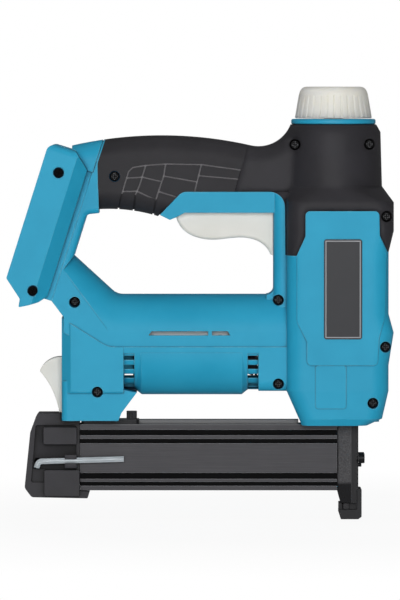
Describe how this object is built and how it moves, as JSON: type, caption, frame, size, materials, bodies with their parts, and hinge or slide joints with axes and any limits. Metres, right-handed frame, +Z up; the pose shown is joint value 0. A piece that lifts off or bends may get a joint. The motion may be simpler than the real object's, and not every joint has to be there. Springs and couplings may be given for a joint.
{
  "type": "cordless stapler",
  "caption": "Cordless stapler with a blue and black plastic body, white power knob and trigger, dark slide-out magazine and an empty battery bay",
  "frame": {"origin": "middle of the nose tip's work face, on the driver's line", "axes": "+X forward, +Y to the tool's left, +Z up along the driver"},
  "size_m": [0.2497, 0.077, 0.2806],
  "materials": {
    "housing_blue": "satin moulded plastic",
    "cover_black": "fine textured",
    "grip_rubber": "soft matte",
    "trim_white": "satin",
    "lamp_clear": "clear lens",
    "magazine_metal": "dark anodised extrusion",
    "nose_metal": "black cast",
    "steel": "plain steel",
    "brass": "plain"
  },
  "bodies": {
    "tool": {"right_housing": "housing_blue", "left_housing": "housing_blue", "right_head_cover": "cover_black", "left_head_cover": "cover_black", "right_grip": "grip_rubber", "left_grip": "grip_rubber", "right_battery_guard": "housing_blue", "left_battery_guard": "housing_blue", "head_collar": "housing_blue", "cylinder_cap": "nose_metal", "drive_cylinder": "nose_metal", "bumper": "grip_rubber", "main_spring": "steel", "gearbox_case": "nose_metal", "output_bearing": "steel", "motor_can": "steel", "motor_end_cap": "cover_black", "control_board": "cover_black", "trigger_pin": "steel", "trigger_switch": "cover_black", "trigger_spring": "steel", "battery_carrier": "cover_black", "rating_plate": "cover_black", "work_light": "lamp_clear", "nose_base": "nose_metal", "nose_front_plate": "steel", "contact_spring": "steel", "safety_switch": "cover_black", "magazine_channel": "magazine_metal", "magazine_bracket": "magazine_metal", "bracket_screw": "steel", "latch_pin": "steel", "latch_spring": "steel", "housing_screws": "steel", "battery_guard_screws": "steel", "nose_screws": "steel", "terminal_blades": "brass"},
    "knob": {"power_knob": "trim_white", "adjuster_spindle": "steel"},
    "seat": {"spring_seat": "steel"},
    "striker": {"hammer": "steel", "driver_blade": "steel", "blade_clamp": "steel"},
    "drive": {"output_carrier": "steel", "lifter_wheel": "steel"},
    "planet_1": {"planet_gear_1": "steel"},
    "planet_2": {"planet_gear_2": "steel"},
    "planet_3": {"planet_gear_3": "steel"},
    "rotor": {"motor_rotor": "steel", "cooling_fan": "cover_black"},
    "trigger": {"trigger": "trim_white"},
    "contact": {"contact_strap": "steel", "no_mar_tip": "grip_rubber", "contact_foot": "steel"},
    "magazine": {"magazine_rail": "steel", "magazine_end_cap": "cover_black"},
    "pusher": {"pusher": "steel", "pusher_spring": "steel"},
    "key": {"hex_key": "steel"},
    "latch": {"magazine_latch": "trim_white"}
  },
  "joints": [
    {"name": "trigger_pull", "type": "hinge", "parent": "tool", "child": "trigger", "pos_m": [-0.057, 0, 0.206], "axis": [0, 1, 0], "range_deg": [0, 7], "stiffness_Nm_per_rad": 0.8, "springref_deg": -8.59, "deforming": ["trigger_spring"]},
    {"name": "knob_turn", "type": "hinge", "parent": "tool", "child": "knob", "pos_m": [-0.0125, 0, 0.26], "axis": [0, 0, 1], "range_deg": [0, 270.1]},
    {"name": "seat_travel", "type": "slide", "parent": "tool", "child": "seat", "axis": [0, 0, -1], "range_m": [0, 0.0045]},
    {"name": "drive_turn", "type": "hinge", "parent": "tool", "child": "drive", "pos_m": [-0.0384, 0, 0.11], "axis": [1, 0, 0], "range_deg": [0, 155.6]},
    {"name": "rotor_spin", "type": "hinge", "parent": "tool", "child": "rotor", "pos_m": [-0.11, 0, 0.11], "axis": [1, 0, 0], "range_deg": [0, 778]},
    {"name": "planet_spin_1", "type": "hinge", "parent": "drive", "child": "planet_1", "pos_m": [-0.0533, 0.00975, 0.11], "axis": [1, 0, 0], "range_deg": [-415, 0]},
    {"name": "planet_spin_2", "type": "hinge", "parent": "drive", "child": "planet_2", "pos_m": [-0.0533, -0.00487, 0.11844], "axis": [1, 0, 0], "range_deg": [-415, 0]},
    {"name": "planet_spin_3", "type": "hinge", "parent": "drive", "child": "planet_3", "pos_m": [-0.0533, -0.00487, 0.10156], "axis": [1, 0, 0], "range_deg": [-415, 0]},
    {"name": "hammer_lift", "type": "slide", "parent": "tool", "child": "striker", "axis": [0, 0, 1], "range_m": [0, 0.038], "deforming": ["main_spring"]},
    {"name": "contact_press", "type": "slide", "parent": "tool", "child": "contact", "axis": [0, 0, 1], "range_m": [0, 0.004], "stiffness_N_per_m": 3000, "springref_m": -0.012, "deforming": ["contact_spring"]},
    {"name": "magazine_open", "type": "slide", "parent": "tool", "child": "magazine", "axis": [-1, 0, 0], "range_m": [0, 0.12]},
    {"name": "pusher_slide", "type": "slide", "parent": "magazine", "child": "pusher", "axis": [-1, 0, 0], "range_m": [0, 0.11], "stiffness_N_per_m": 40, "springref_m": -0.12},
    {"name": "latch_lift", "type": "hinge", "parent": "tool", "child": "latch", "pos_m": [-0.183, 0, 0.074], "axis": [0, 1, 0], "range_deg": [0, 8], "stiffness_Nm_per_rad": 0.4, "springref_deg": -6.88, "deforming": ["latch_spring"]},
    {"name": "key_out", "type": "slide", "parent": "magazine", "child": "key", "axis": [0, -1, 0], "range_m": [0, 0.03]}
  ],
  "couplings": [
    {"joint": "knob_turn", "follows": "seat_travel", "rad_per_m": 1047.2},
    {"joint": "drive_turn", "follows": "hammer_lift", "rad_per_m": 71.429},
    {"joint": "rotor_spin", "follows": "hammer_lift", "rad_per_m": 357.14},
    {"joint": "planet_spin_1", "follows": "hammer_lift", "rad_per_m": -190.48},
    {"joint": "planet_spin_2", "follows": "hammer_lift", "rad_per_m": -190.48},
    {"joint": "planet_spin_3", "follows": "hammer_lift", "rad_per_m": -190.48}
  ]
}
